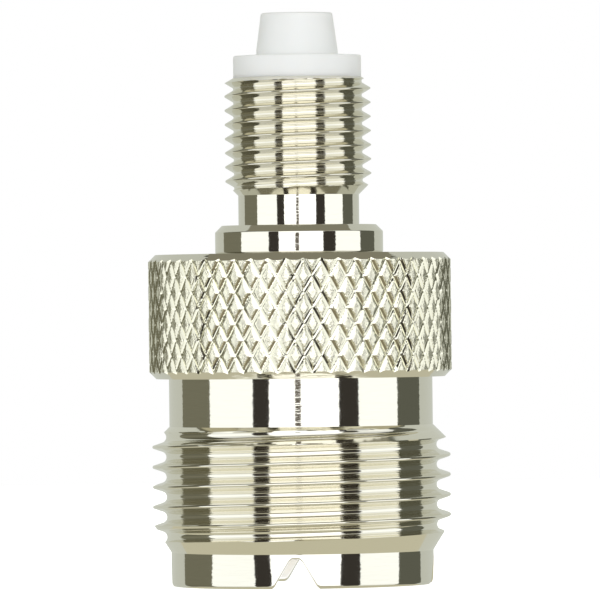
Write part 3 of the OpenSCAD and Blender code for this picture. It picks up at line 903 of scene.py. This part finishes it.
# Floor, with the share of its brightness that is left close to the object
FLOOR_R = PANEL_R * 0.85
FLOOR_SEGMENTS = 96
FLOOR_GAP = 0.01 * MM
FLOOR_COLOUR = (0.9, 0.9, 0.9, 1)
FLOOR_ROUGHNESS = 0.9
FLOOR_SHADE_R = 14 * MM
FLOOR_SHADE = 0.8

# Glowing disc under the mouth: a painted reflection of light in the bore, where the mouth is in shade
MOUTH_GLOW_R = MOUTH_R * 0.99
MOUTH_GLOW_SEGMENTS = 48
MOUTH_GLOW_LIGHT = (1.3, 1.33, 1.42)

# Share of the backdrop's light that reaches rough surfaces
BACKDROP_FILL = 0.6
WHITE = (1, 1, 1, 1)


def glow(name, colour, fade):
    """Light of one colour that falls off above and below the eye."""
    material = bpy.data.materials.new(name)
    material.use_nodes = True
    tree = material.node_tree
    tree.nodes.remove(tree.nodes["Principled BSDF"])
    split = tree.nodes.new("ShaderNodeSeparateXYZ")
    tree.links.new(tree.nodes.new("ShaderNodeTexCoord").outputs["Object"], split.inputs[0])
    rise = (Wire(tree, split.outputs["Z"]) - EYE_HEIGHT).size() / PANEL_R
    light = add_node(tree, "ShaderNodeEmission", {
        "Color": (*colour, 1), "Strength": rise * (fade - 1.0) + 1.0})
    tree.links.new(light.outputs[0], tree.nodes["Material Output"].inputs["Surface"])
    return material


def directly_seen(tree):
    """One for rays from the camera, mirrors and clear pieces, and nothing for the rest."""
    path = tree.nodes.new("ShaderNodeLightPath")
    by_camera = Wire(tree, path.outputs["Is Camera Ray"])
    by_mirror = Wire(tree, path.outputs["Is Glossy Ray"])
    return by_camera.most(by_mirror).most(Wire(tree, path.outputs["Is Transmission Ray"]))


def add_stage(bm, name, material):
    """Puts a piece of the studio in the scene."""
    mesh = bpy.data.meshes.new(name)
    bm.to_mesh(mesh)
    bm.free()
    mesh.materials.append(material)
    piece = bpy.data.objects.new(name, mesh)
    bpy.context.scene.collection.objects.link(piece)
    return piece


def studio_panel(name, start, end, colour, fade, low, high, distance):
    """A curved upright panel, unseen by the camera."""
    bm = bmesh.new()
    across = np.radians(np.linspace(start, end, max(2, int((end - start) / PANEL_STEP_ACROSS) + 1)))
    upward = np.radians(np.linspace(low, high, int((high - low) / PANEL_STEP_UP) + 1))
    rows = []
    for e in upward:
        row = []
        for a in across - math.pi / 2 + VIEW_SIDE:
            out = Vector((math.cos(a) * math.cos(e), math.sin(a) * math.cos(e), math.sin(e)))
            row.append(bm.verts.new(out * distance + Vector((0, 0, EYE_HEIGHT))))
        rows.append(row)
    for under, over in zip(rows, rows[1:]):
        for i in range(len(under) - 1):
            bm.faces.new((under[i + 1], under[i], over[i], over[i + 1]))
    panel = add_stage(bm, name, glow(name, colour, fade))
    panel.visible_camera = False


def fill_lamps():
    """Two large soft lamps that light what scatters light, and are not mirrored in the nickel."""
    for side in (-1, 1):
        light = bpy.data.lights.new("fill lamp", "AREA")
        light.shape = "DISK"
        light.size = LAMP_SIZE
        light.energy = LAMP_POWER
        lamp = bpy.data.objects.new("fill lamp", light)
        bpy.context.scene.collection.objects.link(lamp)
        place = Vector((side * LAMP_SIDE, -LAMP_FRONT, LAMP_HEIGHT))
        lamp.location = place
        lamp.rotation_euler = (LAMP_AIM - place).to_track_quat("-Z", "Y").to_euler()
        lamp.visible_glossy = False
        lamp.visible_camera = False


def pale_floor():
    """White floor that keeps the object's shadow and is bright to the camera."""
    bm = bmesh.new()
    bmesh.ops.create_circle(bm, cap_ends=True, segments=FLOOR_SEGMENTS, radius=FLOOR_R)
    material, tree, shader, place = new_material("pale floor")
    shader.inputs["Base Color"].default_value = FLOOR_COLOUR
    shader.inputs["Roughness"].default_value = FLOOR_ROUGHNESS
    away = add_node(tree, "ShaderNodeVectorMath", operation="LENGTH")
    feed(tree, away.inputs[0], place)
    clear = ((Wire(tree, away.outputs["Value"]) - FLOOR_SHADE_R) / FLOOR_SHADE_R).within(0.0, 1.0)
    bright = clear * (1 - FLOOR_SHADE) + FLOOR_SHADE
    feed(tree, shader.inputs["Emission Strength"], directly_seen(tree) * bright)
    shader.inputs["Emission Color"].default_value = WHITE
    floor = add_stage(bm, "floor", material)
    floor.location.z = -FLOOR_GAP
    floor.visible_glossy = False


def painted_mouth_reflection():
    """Glowing disc under the mouth, seen only by reflection in the bore: it paints a bright reflection
    where the mouth is in shade, and lights no rough surface.
    """
    bm = bmesh.new()
    bmesh.ops.create_circle(bm, cap_ends=True, segments=MOUTH_GLOW_SEGMENTS, radius=MOUTH_GLOW_R)
    # Painted reflection: the disc glows in the bore's reflection but is hidden from the camera and from
    # scattered light
    paper = add_stage(bm, "painted mouth reflection", glow("painted mouth reflection", MOUTH_GLOW_LIGHT, 1.0))
    paper.visible_camera = False
    paper.visible_diffuse = False


def white_world():
    """White backdrop for the camera and for reflections, with soft light for the rest."""
    world = bpy.data.worlds.new("white backdrop")
    bpy.context.scene.world = world
    world.use_nodes = True
    tree = world.node_tree
    background = tree.nodes["Background"]
    background.inputs["Color"].default_value = WHITE
    feed(tree, background.inputs["Strength"], directly_seen(tree) * (1 - BACKDROP_FILL) + BACKDROP_FILL)


photo_camera()
uhf_shell()
fme_body()
fme_insulator()
uhf_insulator()
gold_contacts()

for panel in PANELS:
    studio_panel(*panel)
fill_lamps()
pale_floor()
painted_mouth_reflection()
white_world()
bpy.context.scene.view_settings.view_transform = "Standard"
